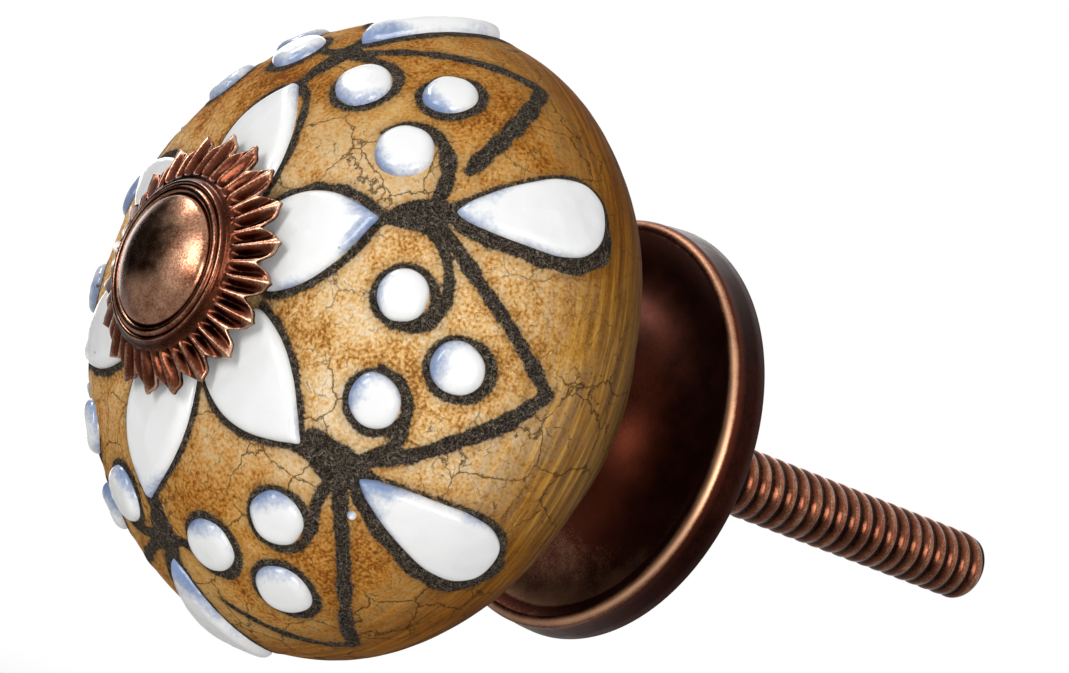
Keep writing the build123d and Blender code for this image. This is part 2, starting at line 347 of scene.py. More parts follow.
shader = addNode(tree, "BsdfPrincipled", {
    "Base Color": chipColor, "Roughness": glazeRough, "Normal": bump, "IOR": 1.52})
addNode(tree, "OutputMaterial", {"Surface": shader})
print("glaze ready")


# Antique copper plate on pressed steel and brass: dark oxide left in the hollows and rubbed back on the high
# places, so it goes from brown-black to bright peach across one fold. Each piece has its own share of oxide.
copper = {
    "mottleSize": 1.6,  # mm
    "grainSize": 0.14,
    "noiseUsed": (0.3, 0.7),  # the middle of the noise, which has nearly all of it
    "oxideAt": 0.05,  # how far rubbed
    "brownAt": 0.5,
    "rubbedAt": 0.95,
    "grainDepth": 0.03,
}
copperPieces = {
    "antiqueCopperPlate": {
        "oxide": "#1C0905", "brown": "#562719", "rubbed": "#EDB790",
        "mottle": 0.045, "grain": 0.05, "rough": (0.38, 0.5),
    },
    "antiqueCopperRosette": {
        "oxide": "#150705", "brown": "#6B3A28", "rubbed": "#EBC0A0",
        "mottle": 0.1, "grain": 0.1, "rough": (0.16, 0.27),
    },
    "antiqueCopperBolt": {
        "oxide": "#1E0E09", "brown": "#774632", "rubbed": "#E8BB98",
        "mottle": 0.12, "grain": 0.09, "rough": (0.17, 0.3),
    },
}
copperMaterials = {}
for name, finish in copperPieces.items():
    copperMaterials[name], tree = startMaterial(name)
    used = copper["noiseUsed"]
    coords = addNode(tree, "TexCoord").outputs["Object"]
    # this attribute is the wear, and on the back plate it also holds painted highlight and painted shade
    wornAt = addNode(tree, "Attribute", attribute_name="wearAndPaintedLight").outputs["Fac"]
    mottle = addNode(tree, "TexNoise", {
        "Vector": coords, "Scale": scaleFor(copper["mottleSize"]), "Detail": 5.0, "Roughness": 0.65})
    grain = addNode(tree, "TexNoise", {
        "Vector": coords, "Scale": scaleFor(copper["grainSize"]), "Detail": 3.0, "Roughness": 0.6})
    shareA = addNode(tree, "MapRange", {"Value": mottle, span: (*used, -finish["mottle"], finish["mottle"])})
    shareB = addNode(tree, "MapRange", {"Value": grain, span: (*used, -finish["grain"], finish["grain"])})
    shareC = addNode(tree, "Math", {0: shareA, 1: shareB}, operation="ADD")
    share = addNode(tree, "Math", {0: wornAt, 1: shareC}, operation="ADD")
    stages = [(copper[stage + "At"], finish[stage]) for stage in ("oxide", "brown", "rubbed")]
    color = addNode(tree, "ValToRGB", {"Fac": share}, stages)
    rough = addNode(tree, "MapRange", {"Value": mottle, span: (*used, *finish["rough"])})
    bump = addNode(tree, "Bump", {"Height": shareC, "Strength": 0.4, "Distance": copper["grainDepth"] * mm})
    shader = addNode(tree, "BsdfPrincipled", {
        "Base Color": color, "Metallic": 1.0, "Roughness": rough, "Normal": bump})
    addNode(tree, "OutputMaterial", {"Surface": shader})
print("copper ready")


# The ball's outline comes from its solid: radius and height, from the front seat to the back.
ball = {
    "segments": 448, "seatRadius": 5.5, "seatMiddle": 4.4, "boreRadius": 2.9,
    "fineTo": 31.5, "fineStep": 0.26, "coarseStep": 0.7,  # mm along the skin; the ornament needs the fine part
    "pointGap": 0.5, "footGap": 0.4, "outlineStep": 0.1,  # between points taken from the solid, and samples
    "unevenScale": 0.11, "unevenBy": 0.10, "slipRise": 0.07,
    "slipFar": 2.0,  # mm from the brush beyond which it no longer matters
    "slipFrom": 5.0, "slipTo": 32.5, "slipSearch": 2.2,
}
solid = np.array([v.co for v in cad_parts["ceramic_knob"].data.vertices]) / mm
outline = np.stack([np.hypot(solid[:, 0], solid[:, 2]), -solid[:, 1]], -1)
outline = np.unique(np.round(outline[outline[:, 0] > ball["seatRadius"] - 0.05], 3), axis=0)
outline = outline[np.lexsort((outline[:, 0], -outline[:, 1]))]
foot = outline[-1]
sparse = [outline[0]]
for row in outline[1:]:
    if math.dist(row, sparse[-1]) > ball["pointGap"] and math.dist(row, foot) > ball["footGap"]:
        sparse.append(row)
side = smoothLine(sparse + [foot], ball["outlineStep"])
side = np.vstack([[[0, side[0, 1]]], side])
arcAt = np.concatenate([[0], np.cumsum(np.linalg.norm(np.diff(side, axis=0), axis=1))])
lean = np.gradient(side, arcAt, axis=0)
out = np.stack([-lean[:, 1], lean[:, 0]], -1)
out /= np.linalg.norm(out, axis=1)[:, None]


# from the flat pattern (mm from the middle of the front, first knot up) to the ball's skin
def onBall(flat, lift=0.0):
    along = np.hypot(flat[..., 0], flat[..., 1])
    turn = np.arctan2(flat[..., 0], flat[..., 1])
    radius = np.interp(along, arcAt, side[:, 0]) + lift * np.interp(along, arcAt, out[:, 0])
    height = np.interp(along, arcAt, side[:, 1]) + lift * np.interp(along, arcAt, out[:, 1])
    return np.stack([radius * np.sin(turn), -height, radius * np.cos(turn)], -1)


# turns rows of (outwards, sideways, ...) about the middle of the front
def placed(rows, turn):
    rows = np.array(rows, float)
    a, b = rows[:, 0].copy(), rows[:, 1].copy()
    rows[:, 0] = a * math.sin(turn) + b * math.cos(turn)
    rows[:, 1] = a * math.cos(turn) - b * math.sin(turn)
    return rows


# The folk ornament, brushed by hand: six petals, six drops and three dots between each pair of knots. Lengths
# are mm on the flat pattern. Each petal and drop has its own width, lean and length, as the brush left them.
ornament = {
    # half an outline, outwards and by its share of the width, then each one's width, lean and extra length
    "petal": [(6.2, 0.9), (8.0, 1.01), (9.8, 0.98), (11.6, 0.79), (13.3, 0.45), (14.4, 0.16), (14.9, 0.0)],
    "petalShape": [
        (3.2, -0.25, -0.9), (3.15, -0.65, -0.4), (3.25, 0.1, 0.2), (3.3, 0.6, 0.2), (3.0, -0.3, 0.0),
        (2.6, -1.5, -0.4),
    ],
    "petalTurn": [0, 3, 3, 0, 0, 0],  # degrees
    "petalSpine": [(7.5, 0.0), (11.5, 0.4)],  # the middle of the pillow: outwards, with the share of the lean
    "petalThick": [0.3, 0.0, 0.8, 0.4, 0.3, 0.3],  # how much further from thin each tip is
    "drop": [
        (19.4, 0.0), (19.9, 0.16), (21.4, 0.42), (24.0, 0.76), (26.4, 1.0), (28.2, 0.96), (29.5, 0.62),
        (29.95, 0.0),
    ],
    "dropShape": [
        (3.2, 0.4, 0.0), (3.4, -1.1, -0.4), (3.05, 0.35, 0.2), (2.9, 0.5, 0.4), (3.1, -0.3, 0.0),
        (3.1, 0.3, 0.1),
    ],
    "dropSpine": [(22.5, 0.2), (27.0, 0.7)],
    "outlineStep": 0.22,
    "petalBrush": {"gap": 0.22, "width": 0.35},  # from the petal's edge to the stroke's middle; half its width
    "dropBrush": {"gap": 0.29, "width": 0.4, "step": 0.4, "press": 0.13, "pressWidth": 0.2, "endWidth": 0.2},
    # the knot between a petal and its drop: outwards, sideways and half the brush's width
    "knot": [(15.6, 0.0, 0.5), (16.8, 0.1, 0.8), (18.0, 0.0, 0.85)],
    "knotEnd": (19.4, 0.0, 0.55),
    "knotWeight": [1.0, 1.05, 1.45, 1.45, 1.0, 1.0],
    # the strokes between two knots, outwards and sideways from the middle of the gap, with half the brush's
    # width; three gaps differ as the hand left them, and the far side repeats them
    "dots": [
        [(16.0, -3.7, 2.0), (20.7, 0.15, 1.85), (16.2, 3.7, 2.0)],
        [(16.4, -3.0, 1.75), (21.3, 0.35, 1.85), (16.9, 4.2, 1.8)],
        [(17.5, -2.7, 1.95), (22.1, 0.75, 2.1), (17.4, 4.2, 2.0)],
    ],
    "firstArm": [
        [(15.8, -8.3, 0.52), (18.8, -6.7, 0.46), (22.8, -4.1, 0.44), (25.6, -2.0, 0.46), (27.3, -0.2, 0.47)],
        [(16.1, -8.6, 0.52), (20.0, -6.1, 0.47), (23.6, -3.6, 0.46), (26.4, -1.1, 0.46), (27.3, -0.1, 0.46)],
        [(17.1, -8.1, 0.56), (20.8, -6.1, 0.5), (24.3, -3.4, 0.5), (27.4, -0.3, 0.5), (28.7, 0.8, 0.44)],
    ],
    "secondArm": [
        [(27.4, 0.0, 0.45), (25.2, 2.9, 0.58), (22.1, 5.5, 0.62), (20.0, 6.7, 0.54), (19.1, 7.2, 0.36)],
        [(27.4, 0.0, 0.46), (25.4, 2.9, 0.52), (22.5, 5.4, 0.55), (19.3, 7.5, 0.5), (17.1, 8.3, 0.55)],
        [(28.8, 0.9, 0.42), (27.7, 2.8, 0.34), (25.0, 5.3, 0.33), (22.2, 7.0, 0.3), (20.7, 7.8, 0.2)],
    ],
    "firstCurl": [
        [(16.0, -8.0, 0.45), (17.0, -6.6, 0.42), (18.0, -4.9, 0.4), (18.3, -3.2, 0.36), (17.6, -1.7, 0.28)],
        [
            (16.1, -7.9, 0.44), (17.5, -6.8, 0.4), (18.7, -5.0, 0.4), (19.1, -2.9, 0.36), (18.2, -1.3, 0.33),
            (16.4, -0.9, 0.28),
        ],
        [
            (16.2, -8.0, 0.46), (17.3, -6.3, 0.42), (18.8, -4.8, 0.42), (19.8, -3.0, 0.37), (19.1, -1.3, 0.32),
            (17.3, -0.7, 0.24),
        ],
    ],
    "secondCurl": [
        [
            (16.0, 8.5, 0.48), (17.4, 7.3, 0.5), (18.4, 5.4, 0.5), (18.4, 3.2, 0.42), (17.3, 1.7, 0.32),
            (15.6, 1.5, 0.2),
        ],
        [(17.1, 8.2, 0.46), (18.7, 6.8, 0.42), (19.1, 4.6, 0.4), (18.2, 2.5, 0.34), (16.8, 2.0, 0.28)],
        [
            (15.9, 8.3, 0.44), (16.2, 7.2, 0.4), (17.0, 6.5, 0.38), (18.4, 6.1, 0.36), (19.5, 4.3, 0.34),
            (19.0, 2.4, 0.26),
        ],
    ],
    "dotPoints": 40,
    "dotSquash": (0.96, 1.04),  # outwards and sideways
    "dotWobble": 0.07,
    "ringGap": 0.17,
    "ringWidth": [0.36, 0.38, 0.36],
    "openRing": [(0, 2), (3, 2)],  # gap and dot whose ring the brush left open
    "brushLean": (0.17, -0.06),  # the rings lie a little to one side of their dots
    "brushStep": 0.12,
    "brushUneven": 0.4,  # the share that the brush's width comes and goes
    "strayDrip": (16.4, -12.4, 0.32),  # one splash of glaze beside a knot, with its radius
    "rise": 0.72,
    "dropRise": [1.0, 0.72, 0.72, 0.72, 0.72, 0.72],  # the top drop is dabbed on thickest
    "roll": 0.85,  # mm over which the rim rounds up
    "crown": 0.12,  # the share of the height that comes further in
    "crownWidth": 3.0,
    "lumps": 0.05,
    "sunk": 0.12,  # mm that the glaze goes into the clay, so that no gap shows
    # steps from the rim to the spine
    "pillowSteps": [0, 0.015, 0.045, 0.09, 0.15, 0.22, 0.3, 0.4, 0.52, 0.66, 0.82, 1.0],
}
knotTurn = [math.radians(60 * k) for k in range(6)]
gapTurn = [math.radians(60 * k + 30) for k in range(6)]


# both sides of a petal or drop from half its outline, with its own width, lean and extra length
def bothSides(halfOutline, width, leanBy, longer):
    first, last = halfOutline[0][0], halfOutline[-1][0]
    rows = []
    for sign, run in ((1, halfOutline), (-1, halfOutline[::-1])):
        for a, share in run:
            part = (a - first) / (last - first)
            row = (a + longer * part, sign * share * width + leanBy * part ** 1.5)
            if not rows or math.dist(row, rows[-1]) > 0.01:
                rows.append(row)
    if math.dist(rows[0], rows[-1]) < 0.01:
        rows.pop()
    return rows


strokes = []


# a brush stroke: rows of (outwards, sideways, half width) with an uneven hand
def stroke(rows, turn, closed=False, lean=(0.0, 0.0)):
    line = placed(smoothLine(rows, ornament["brushStep"], closed), turn)
    for row in line:
        row[2] *= 1 + ornament["brushUneven"] * noise.noise((row[0] * 0.9, row[1] * 0.9, 3.0))
        row[0] += lean[0]
        row[1] += lean[1]
    strokes.append(line)


# moves a closed outline outwards in its own plane
def grown(outline, by):
    ahead = np.roll(outline, -1, axis=0) - np.roll(outline, 1, axis=0)
    side = np.stack([ahead[:, 1], -ahead[:, 0]], -1)
    side /= np.linalg.norm(side, axis=1)[:, None]
    flip = np.sign(np.sum(side * (outline - outline.mean(axis=0))))
    return outline + side * flip * by


petalOutlines, dropOutlines, dotOutlines = [], [], []  # each with its spine
petalFrom, petalTo = ornament["petal"][0][0], ornament["petal"][-1][0]
petalBrush, dropBrush = ornament["petalBrush"], ornament["dropBrush"]
for k in range(6):
    width, leanBy, longer = ornament["petalShape"][k]
    petal = bothSides(ornament["petal"], width, leanBy, longer)
    petalTurn = knotTurn[k] + math.radians(ornament["petalTurn"][k])
    spine = [(a, leanBy * share) for a, share in ornament["petalSpine"]]
    petalLine = smoothLine(petal, ornament["outlineStep"], True)
    petalOutlines.append((placed(petalLine, petalTurn), placed(spine, petalTurn)))
    for sign in (1, -1):
        edge = []
        for a, share in ornament["petal"][:-2]:
            bow = leanBy * ((a - petalFrom) / (petalTo - petalFrom)) ** 1.5
            edge.append((a, sign * (share * width + petalBrush["gap"]) + bow, petalBrush["width"]))
        # past the tip the two edges cross and run into the knot
        edge.append((petalTo + longer + 0.1, sign * 0.25 + leanBy, 0.42))
        edge += [(17.2, leanBy * 0.3 - sign * 0.2, 0.55), (18.6, -sign * 0.45, 0.45)]
        stroke(edge, petalTurn)
    width, leanBy, longer = ornament["dropShape"][k]
    drop = bothSides(ornament["drop"], width, leanBy, longer)
    spine = [(a, leanBy * share) for a, share in ornament["dropSpine"]]
    dropLine = smoothLine(drop, ornament["outlineStep"], True)
    dropOutlines.append((placed(dropLine, knotTurn[k]), placed(spine, knotTurn[k])))
    rim = smoothLine(drop, dropBrush["step"], True)
    below = np.clip(rim[:, 1], -1, 1)  # the brush pressed harder on one side and at the end
    rim = grown(rim, dropBrush["gap"] + dropBrush["press"] * below[:, None])
    atEnd = np.clip((rim[:, 0] - 24.5) / 4.5, 0, 1)
    heavy = dropBrush["width"] + dropBrush["endWidth"] * atEnd + dropBrush["pressWidth"] * below
    stroke(np.column_stack([rim, heavy]), knotTurn[k], True)
    weight = ornament["knotWeight"][k]
    stroke([(a, b, half * weight) for a, b, half in ornament["knot"]] + [ornament["knotEnd"]], knotTurn[k])
    gap = k % 3
    for part in ("firstArm", "secondArm", "firstCurl", "secondCurl"):
        stroke(ornament[part][gap], gapTurn[k])
    around = fullTurn(ornament["dotPoints"])
    outSquash, sideSquash = ornament["dotSquash"]
    for i, (p, q, radius) in enumerate(ornament["dots"][gap]):
        drawn = [(math.cos(t) * 1.3 + 5 * k, math.sin(t) * 1.3 + 3 * i, 0.5) for t in around]
        wobble = np.array([1 + ornament["dotWobble"] * noise.noise(spot) for spot in drawn])
        circle = np.stack([
            p + outSquash * radius * wobble * np.cos(around),
            q + sideSquash * radius * wobble * np.sin(around),
        ], -1)
        dotOutlines.append((placed(circle, gapTurn[k]), placed([(p, q), (p, q)], gapTurn[k])))
        if (k, i) not in ornament["openRing"]:
            wide = radius + ornament["ringGap"]
            ring = np.column_stack([
                p + wide * np.cos(around), q + wide * np.sin(around),
                np.full(len(around), ornament["ringWidth"][i]),
            ])
            stroke(ring, gapTurn[k], True, ornament["brushLean"])

around = fullTurn(16)
drip = np.array(ornament["strayDrip"][:2])
dripLine = drip + ornament["strayDrip"][2] * np.stack([np.sin(around), np.cos(around)], -1)
dotOutlines.append((dripLine, np.array([drip, drip])))

brushPoints = kdtree.KDTree(sum(len(line) for line in strokes))
halfWidths = []
for line in strokes:
    for spot, row in zip(onBall(line), line):
        brushPoints.insert(spot, len(halfWidths))
        halfWidths.append(row[2])
brushPoints.balance()
print("ornament:", len(strokes), "strokes,", len(halfWidths), "brush points")

# ball: fine rings under the ornament, coarser behind, then the flat back and the bore
skinEnd = arcAt[-1]
rows = list(np.arange(ball["seatRadius"] - 0.3, ball["fineTo"], ball["fineStep"]))
rows = np.array(rows + list(np.arange(ball["fineTo"], skinEnd, ball["coarseStep"])) + [skinEnd])
segments = ball["segments"]
turn = fullTurn(segments)
flat = np.stack([np.outer(rows, np.sin(turn)), np.outer(rows, np.cos(turn))], -1)
skinPlace = onBall(flat)
slipEdge = np.full(flat.shape[:2], ball["slipFar"])
for i, distance in enumerate(rows):
    if ball["slipFrom"] < distance < ball["slipTo"]:
        for j in range(segments):
            for spot, index, gap in brushPoints.find_range(skinPlace[i, j], ball["slipSearch"]):
                slipEdge[i, j] = min(slipEdge[i, j], gap - halfWidths[index])
# hand-made: the skin is a little uneven between the seat and the foot, and the slip stands a hair proud
uneven = np.array([[noise.noise(p * ball["unevenScale"]) for p in ring] for ring in skinPlace])
uneven = uneven * ball["unevenBy"]
fromSeat, fromFoot = np.clip((rows - 8) / 6, 0, 1), np.clip((skinEnd - 6 - rows) / 6, 0, 1)
liftBy = uneven * fromSeat[:, None] * fromFoot[:, None]
liftBy = liftBy + ball["slipRise"] * np.clip(0.5 - slipEdge / 0.5, 0, 1)
skinPlace = onBall(flat, liftBy)
front = turned([ball["boreRadius"], ball["seatMiddle"]], [side[0, 1]] * 2, segments)
back = turned([ball["boreRadius"]], [foot[1]], segments)
rings = np.concatenate([front, skinPlace, back])
bare = np.full((3, segments), ball["slipFar"])
marks = np.concatenate([bare[:2], slipEdge, bare[2:]])
ringObject("earthenwareBall", [(rings, {"slipEdge": marks})], clayMaterial, "ceramic_knob", loop=True)


# a pillow of thick glaze inside an outline: rings step in to the spine, and height follows the rim distance
def pillow(outline, spine, seed, thinSide=1, thickSide=1.4, thickAll=0.0, rise=ornament["rise"]):
    start, end = spine
    run = end - start
    reach = np.clip(((outline - start) @ run) / max(run @ run, 1e-9), 0, 1)
    target = start + reach[:, None] * run
    # the blue-grey rim is wider on the side towards the rosette, and on petals at the tip, so the other side
    # counts as further in
    outward = (outline - target) / np.linalg.norm(outline - target, axis=1)[:, None]
    radial = outline / np.linalg.norm(outline, axis=1)[:, None]
    thick = thickAll + thickSide * (0.5 + 0.5 * thinSide * np.sum(outward * radial, axis=1))
    near = np.vstack([outline, outline[:1]])
    legs = near[1:] - near[:-1]
    crown = ornament["crown"]
    rings, gaps = [], []
    for share in ornament["pillowSteps"]:
        ring = outline + share * (target - outline)
        along = np.einsum("ijk,jk->ij", ring[:, None] - near[None, :-1], legs) / np.sum(legs ** 2, axis=1)
        nearest = near[None, :-1] + np.clip(along, 0, 1)[..., None] * legs
        gap = np.min(np.linalg.norm(ring[:, None] - nearest, axis=2), axis=1)
        part = np.clip(gap / ornament["roll"], 0, 1)
        lumps = np.array([noise.noise((p[0] * 0.8, p[1] * 0.8, seed)) for p in ring])
        further = np.clip(gap / ornament["crownWidth"], 0, 1)
        swell = np.sqrt(1 - (1 - part) ** 2) * (1 - crown) + crown * further
        rings.append(onBall(ring, rise * swell + ornament["lumps"] * lumps * part))
        gaps.append(gap + thick)
    sunk = [onBall(flatRing, np.full(len(flatRing), -ornament["sunk"])) for flatRing in (target, outline)]
    return np.array(sunk + rings), {"rimDistance": np.array([gaps[-1], gaps[0]] + gaps)}


petals = [pillow(o, s, k, -1, 2.2, ornament["petalThick"][k]) for k, (o, s) in enumerate(petalOutlines)]
drops = [pillow(o, s, k + 10, rise=ornament["dropRise"][k]) for k, (o, s) in enumerate(dropOutlines)]
dots = [pillow(o, s, k + 20) for k, (o, s) in enumerate(dotOutlines)]
ringObject("whiteGlazePetals", petals, glazeMaterial, "glaze_petals")
ringObject("whiteGlazeDrops", drops, glazeMaterial, "glaze_drops")
ringObject("whiteGlazeDots", dots, glazeMaterial, "glaze_dots")


# Rosette: a pressed sunflower washer, two hollow flutes to each pointed petal, a bead round the bolt head
rosette = {
    "petals": 20, "perPetal": 28, "turn": -2.5,  # degrees
    "tipRadius": 8.84, "notchRadius": 7.5, "collarRadius": 5.9, "headRadius": 4.41, "hole": 2.9,
    "collarHeight": 39.65, "seatHeight": 39.95, "tipHeight": 38.15, "sheet": 0.6,
    "beads": [(4.76, 0.34), (5.28, 0.18)],  # place and radius
    "beadLift": 0.07, "beadShine": 0.42, "stepRadius": 5.48,
    "fluteRows": 22, "fluteDepth": 0.62, "fluteFrom": 5.95, "fluteRunIn": 0.55, "ridge": 0.14,
    "lip": [(0.05, 0.03), (0.015, 0.08), (0.0, 0.15)],  # inset and drop
    "edge": 0.2, "offCentre": 0.37,
}
segments = rosette["petals"] * rosette["perPetal"]
turn = fullTurn(segments)
step = ((turn - math.radians(rosette["turn"])) / (2 * math.pi) * rosette["petals"]) % 1.0
fromTip = np.minimum(step, 1 - step) * 2  # 0 at a tip, 1 in a notch
pointed = np.clip(1 - 0.86 * fromTip ** 0.9 - 0.14 * fromTip ** 3, 0, 1)
reach = rosette["notchRadius"] + (rosette["tipRadius"] - rosette["notchRadius"]) * pointed
flute = (0.5 - 0.5 * np.cos(4 * math.pi * step)) ** 1.25  # 1 in the middle of a flute, 0 on a ridge
ridgeTop = np.clip(1 - fromTip * 2.5, 0, 1)
rubbing = np.array([noise.noise((3.2 * math.cos(t), 3.2 * math.sin(t), 0.7)) for t in turn])
radiusRows, heightRows, wornRows = [], [], []


# adds one ring of the rosette
def rosetteRing(radius, height, wearAndPaintedLight):
    radiusRows.append(np.broadcast_to(radius, segments))
    heightRows.append(np.broadcast_to(height, segments))
    wornRows.append(np.broadcast_to(wearAndPaintedLight, segments))


collar, seat = rosette["collarRadius"], rosette["seatHeight"]
fall = (rosette["collarHeight"] - rosette["tipHeight"]) / (rosette["tipRadius"] - collar)
rosetteRing(rosette["hole"], seat, 0.1)
rosetteRing(rosette["headRadius"], seat, 0.15)
for beadAt, bead in rosette["beads"]:
    for angle in np.radians(np.linspace(140, 0, 9)):
        beadHeight = seat + rosette["beadLift"] + bead * math.sin(angle)
        beadWorn = 0.22 + rosette["beadShine"] * math.sin(angle)
        rosetteRing(beadAt + bead * math.cos(angle), beadHeight, beadWorn)
for share in (0.15, 0.4, 0.75):
    radius = rosette["stepRadius"] + share * (collar - rosette["stepRadius"])
    rosetteRing(radius, seat - 0.05 - share * 0.2, 0.18)
for share in np.linspace(0, 1, rosette["fluteRows"]):
    radius = collar + share * (reach - 0.12 - collar)
    begin = np.clip((radius - rosette["fluteFrom"]) / rosette["fluteRunIn"], 0, 1)
    deep = np.sqrt(1 - (1 - begin) ** 2) * (1 - 0.6 * share ** 2)
    droop = fall * (radius - collar) * (0.9 + 0.1 * share)
    height = rosette["collarHeight"] + 0.04 - droop
    height = height - rosette["fluteDepth"] * deep * flute + rosette["ridge"] * deep * ridgeTop
    wearAndPaintedLight = 0.3 + 0.3 * (1 - flute) ** 2 * deep - 0.24 * flute * deep + 0.25 * share ** 4
    rosetteRing(radius, height, wearAndPaintedLight)
lipHeight = heightRows[-1]
for inset, drop in rosette["lip"]:
    rosetteRing(reach - inset, lipHeight - drop, 0.68 + 0.3 * rubbing)
rosetteRing(reach - 0.1, lipHeight - 0.15 - rosette["edge"], 0.3)
for row in (-13, -21):  # the underside follows the flutes
    rosetteRing(radiusRows[row], heightRows[row] - 0.4, 0.2)
rosetteRing(collar, rosette["collarHeight"] - rosette["sheet"], 0.1)
rosetteRing(rosette["hole"], seat - rosette["sheet"], 0.1)
rings = turned(np.array(radiusRows), np.array(heightRows), segments)
rings[..., 2] += rosette["offCentre"] * np.clip((np.array(radiusRows) - 5.4) / 3.4, 0, 1)  # pressed off centre
ringObject(
    "flutedRosette", [(rings, {"wearAndPaintedLight": np.array(wornRows)})], copperMaterials["antiqueCopperRosette"],
    "rosette", loop=True)


# Bolt: a low domed head, a plain shank through the ball, and a rolled thread behind the drawer face
bolt = {
    "headRadius": 4.4, "headSeat": 39.95, "headEdge": 0.5, "crown": 1.4, "round": 0.55, "chamfer": 0.06,
    "domeRows": 26, "cornerRows": 6, "shankRadius": 2.2, "studRadius": 2.5, "endRound": 0.95, "endFlat": 0.8,
    "pitch": 1.32, "threadDepth": 0.24, "threadFrom": 8.0, "threadFade": 0.6, "segments": 96, "ringStep": 0.1,
}
bolt["studReach"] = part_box("dome_bolt")[1].y / mm
segments = bolt["segments"]
turn = fullTurn(segments)
head, seat, corner = bolt["headRadius"], bolt["headSeat"], bolt["round"]
top = seat + bolt["headEdge"] + bolt["crown"]
capRadius = (head ** 2 + bolt["crown"] ** 2) / (2 * bolt["crown"])
domeRadius = np.concatenate([[0], np.linspace(0.3, head - corner * 0.55, bolt["domeRows"])])
dome = np.stack([domeRadius, top - capRadius + np.sqrt(capRadius ** 2 - domeRadius ** 2)], -1)
profile = np.vstack([
    dome, cornerArc((head - corner, dome[-1, 1] - corner * 0.9), corner, 50, 0, bolt["cornerRows"]),
    [(head, seat + bolt["chamfer"]), (head - bolt["chamfer"], seat)],
    [(bolt["shankRadius"], seat), (bolt["shankRadius"], bolt["threadFrom"])],
])
wornDome = np.concatenate([
    0.66 - 0.1 * (domeRadius / head) ** 2, np.full(bolt["cornerRows"], 0.6), [0.6, 0.4, 0.1, 0.1],
])
heights = np.arange(bolt["threadFrom"], -bolt["studReach"] - 0.001, -bolt["ringStep"])
phase = heights[:, None] / bolt["pitch"] + turn[None, :] / (2 * math.pi)
groove = (0.5 - 0.5 * np.cos(2 * math.pi * phase)) ** 1.7
endRound = bolt["endRound"]
left = np.clip(bolt["studReach"] + heights, 0, endRound)[:, None]
endLimit = bolt["studRadius"] - endRound + np.sqrt(np.clip(endRound ** 2 - (endRound - left) ** 2, 0, None))
cut = bolt["threadDepth"] * groove * np.clip(left / bolt["threadFade"], 0, 1)
threadRadius = np.minimum(bolt["studRadius"] - cut, endLimit)
wornThread = 0.55 - 0.53 * groove
rings = np.concatenate([
    turned(profile[:, 0], profile[:, 1], segments), turned(threadRadius, heights, segments),
    turned([bolt["endFlat"], 0.0], [-bolt["studReach"]] * 2, segments),
])
wornEnd = np.full((2, segments), 0.4)
marks = np.concatenate([np.repeat(wornDome[:, None], segments, axis=1), wornThread, wornEnd])
ringObject(
    "domeHeadBolt", [(rings, {"wearAndPaintedLight": marks})], copperMaterials["antiqueCopperBolt"],
    "dome_bolt")


# Back plate: a dish with a rolled rim and short skirt, drawn up in the middle into a flared neck
plate = {
    "hole": 2.9, "radius": 14.8, "lip": 14.6, "rim": 2.7, "sheet": 0.7, "roll": 0.6, "dish": 11.4,
    "dishHeight": 2.0, "neck": 6.3, "neckTop": 10.1, "neckRound": 0.5, "segments": 256,
    "neckRows": 6, "flareRows": 28, "dishRows": 12, "rimRows": 14, "rimFrom": 108, "crestAt": 57,  # degrees
    # how far each part is rubbed, from the first row to the last; the flare is darkest by the neck, oxide in
    # the hollow and painted shade under the ball, and the dish grows lighter towards the rim as painted light
    "neckWorn": 0.2, "flareWornAndShade": (0.11, 0.26), "dishWornAndLight": (0.28, 0.52), "rimWorn": (0.38, 0.22),
    "skirtWorn": [0.07, 0.07, 0.16, 0.28, 0.3, 0.25, 0.25], "underWorn": 0.25,
    # and painted highlight by the turn in degrees, on the rim's crest, the dish and the skirt's top
    "crestHighlight": [
        (0, 0.5), (45, 0.62), (75, 0.9), (105, 1.0), (140, 0.85), (175, 0.6), (230, 0.7), (300, 0.55),
        (360, 0.5),
    ],
    "dishHighlight": [(0, 0.0), (80, 0.0), (120, 0.16), (160, 0.32), (220, 0.32), (270, 0.08), (360, 0.0)],
    "skirtHighlight": [
        (0, 0.06), (60, 0.0), (120, 0.04), (150, 0.18), (190, 0.28), (240, 0.22), (300, 0.12), (360, 0.06),
    ],
}
neck, neckTop, neckRound = plate["neck"], plate["neckTop"], plate["neckRound"]
lip, roll, radius, sheet = plate["lip"], plate["roll"], plate["radius"], plate["sheet"]
flare = plate["dish"] - neck
flareCenter = (plate["dish"], plate["dishHeight"] + flare)
rise, run = plate["rim"] - plate["dishHeight"], lip - 0.65 - plate["dish"]
dishBend = (rise ** 2 + run ** 2) / (2 * rise)
dishCenter = (plate["dish"], plate["dishHeight"] + dishBend)
dishEnd = 270 + math.degrees(math.asin(run / dishBend))
profile = np.vstack([
    [(plate["hole"], neckTop)],
    cornerArc((neck - neckRound, neckTop - neckRound), neckRound, 90, 0, plate["neckRows"]),
    cornerArc(flareCenter, flare, 180, 270, plate["flareRows"]),
    cornerArc(dishCenter, dishBend, 272, dishEnd, plate["dishRows"]),
    cornerArc((lip - roll, plate["rim"] - roll), roll, plate["rimFrom"], 0, plate["rimRows"]),
    [(lip + 0.01, 1.6), (radius - 0.06, 0.8), (radius, 0.1), (radius - 0.1, 0.0)],
    [(radius - sheet + 0.1, 0.0), (radius - sheet, 0.1), (radius - sheet - 0.12, 1.5)],
    cornerArc(dishCenter, dishBend + sheet, dishEnd - 2, 272, 10),
    cornerArc(flareCenter, flare + sheet, 270, 180, 20),
    [(neck - sheet, neckTop - sheet), (plate["hole"], neckTop - sheet)],
])
